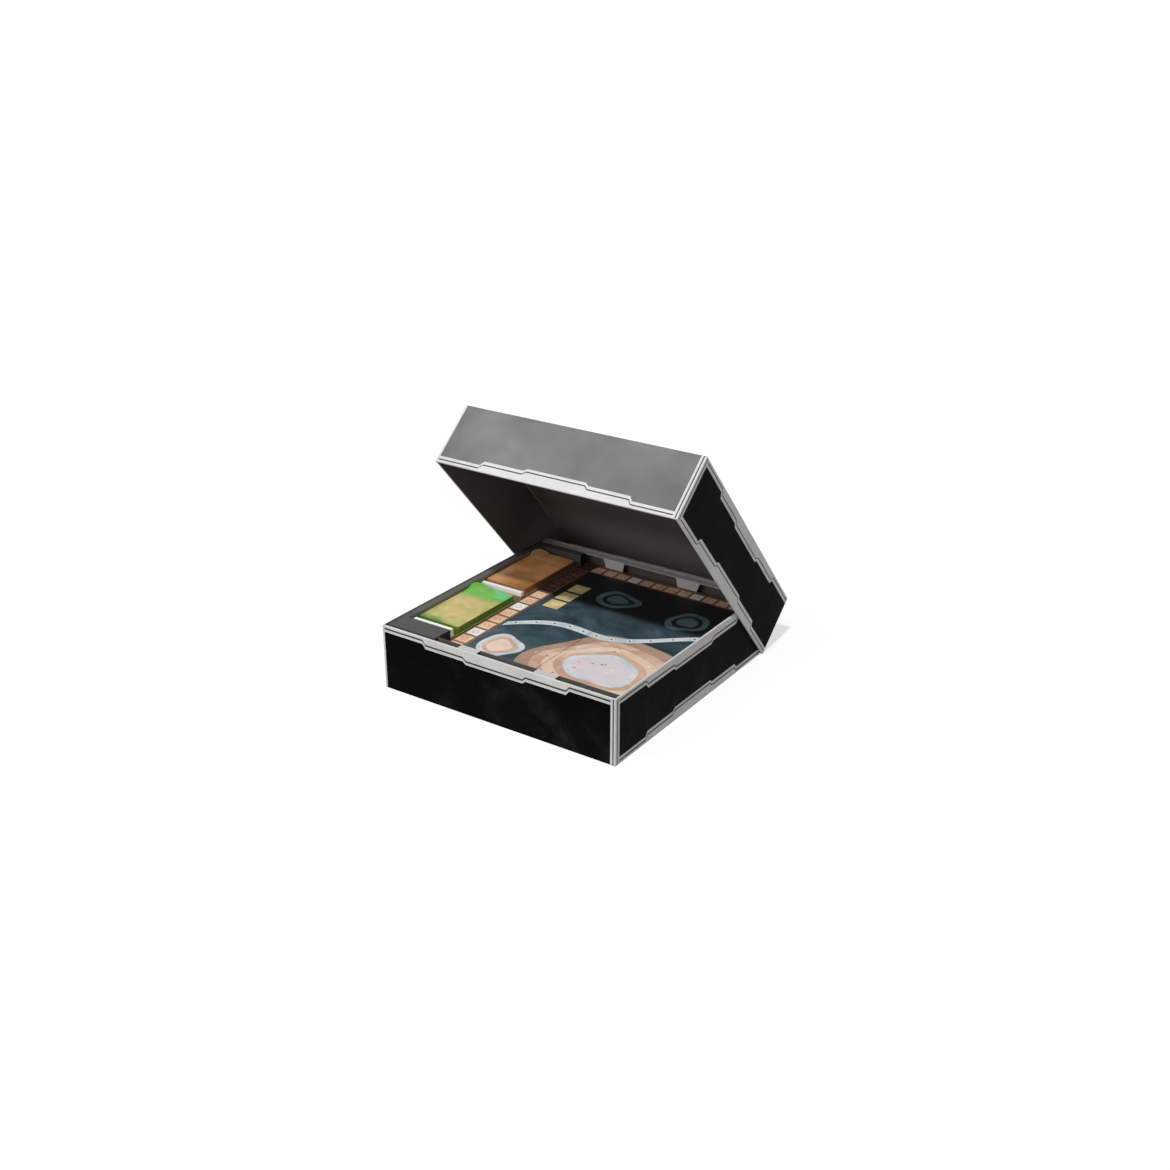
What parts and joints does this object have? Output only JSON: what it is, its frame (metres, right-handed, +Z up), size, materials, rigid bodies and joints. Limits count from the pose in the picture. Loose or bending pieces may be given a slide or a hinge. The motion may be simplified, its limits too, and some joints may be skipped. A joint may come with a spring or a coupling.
{
  "type": "board game storage box",
  "caption": "Square two-piece rigid board game box with tilted-open telescoping lid, card insert, folded game board, card decks in trays and component trays.",
  "frame": {"origin": "centre of the base's flat underside, on the surface the box rests on", "axes": "+X to the right, -Y towards the front, +Z up; the lid is behind the base, tilted open about its lower back edge"},
  "size_m": [0.3006, 0.3531, 0.275],
  "materials": {
    "greyboard": "raw grey cardboard",
    "black_printed_paper": "satin laminated print",
    "grey_printed_paper": "satin laminated print",
    "dark_lining_paper": "matt uncoated",
    "light_lining_paper": "matt uncoated",
    "dark_insert_card": "matt card",
    "light_insert_card": "matt card",
    "component_tray_plastic": "matt",
    "game_board": "linen-finish print",
    "white_tray_card": "matt card",
    "green_cards": "satin playing card",
    "orange_cards": "satin playing card"
  },
  "bodies": {
    "base": {"base_floor_board": "black_printed_paper", "base_front_board": "greyboard", "base_back_board": "greyboard", "base_left_board": "greyboard", "base_right_board": "greyboard", "base_wrap": "black_printed_paper", "base_floor_liner": "dark_lining_paper", "insert_card_wells": "dark_insert_card", "insert_front_wall": "dark_insert_card", "insert_front_tab_left": "light_insert_card", "insert_front_tab_right": "light_insert_card", "insert_back_wall": "dark_insert_card", "insert_back_ledge": "light_insert_card", "component_tray_left": "component_tray_plastic", "component_tray_right": "component_tray_plastic"},
    "lid": {"lid_top_board": "greyboard", "lid_front_board": "greyboard", "lid_back_board": "greyboard", "lid_left_board": "greyboard", "lid_right_board": "greyboard", "lid_wrap": "grey_printed_paper", "lid_liner": "dark_lining_paper", "lid_back_liner": "light_lining_paper"},
    "game_board": {"board_leaf_1": "game_board", "board_leaf_2": "game_board", "board_leaf_3": "game_board", "board_leaf_4": "game_board"},
    "card_tray_rear": {"card_tray_rear": "white_tray_card"},
    "card_tray_front": {"card_tray_front": "white_tray_card"},
    "rear_deck": {"rear_deck_card_stack": "orange_cards", "rear_deck_top_card": "orange_cards"},
    "front_deck": {"front_deck_card_stack": "green_cards", "front_deck_top_card": "green_cards"}
  },
  "joints": [
    {"name": "lid_hinge", "type": "hinge", "parent": "base", "child": "lid", "pos_m": [0, 0.1503, 0], "axis": [-1, 0, 0], "range_deg": [-31, 41]},
    {"name": "game_board_lift", "type": "slide", "parent": "base", "child": "game_board", "axis": [0, 0, 1], "range_m": [0, 0.03]},
    {"name": "card_tray_rear_lift", "type": "slide", "parent": "base", "child": "card_tray_rear", "axis": [0, 0, 1], "range_m": [0, 0.04]},
    {"name": "card_tray_front_lift", "type": "slide", "parent": "base", "child": "card_tray_front", "axis": [0, 0, 1], "range_m": [0, 0.04]},
    {"name": "rear_deck_lift", "type": "slide", "parent": "card_tray_rear", "child": "rear_deck", "axis": [0, 0, 1], "range_m": [0, 0.035]},
    {"name": "front_deck_lift", "type": "slide", "parent": "card_tray_front", "child": "front_deck", "axis": [0, 0, 1], "range_m": [0, 0.035]}
  ]
}
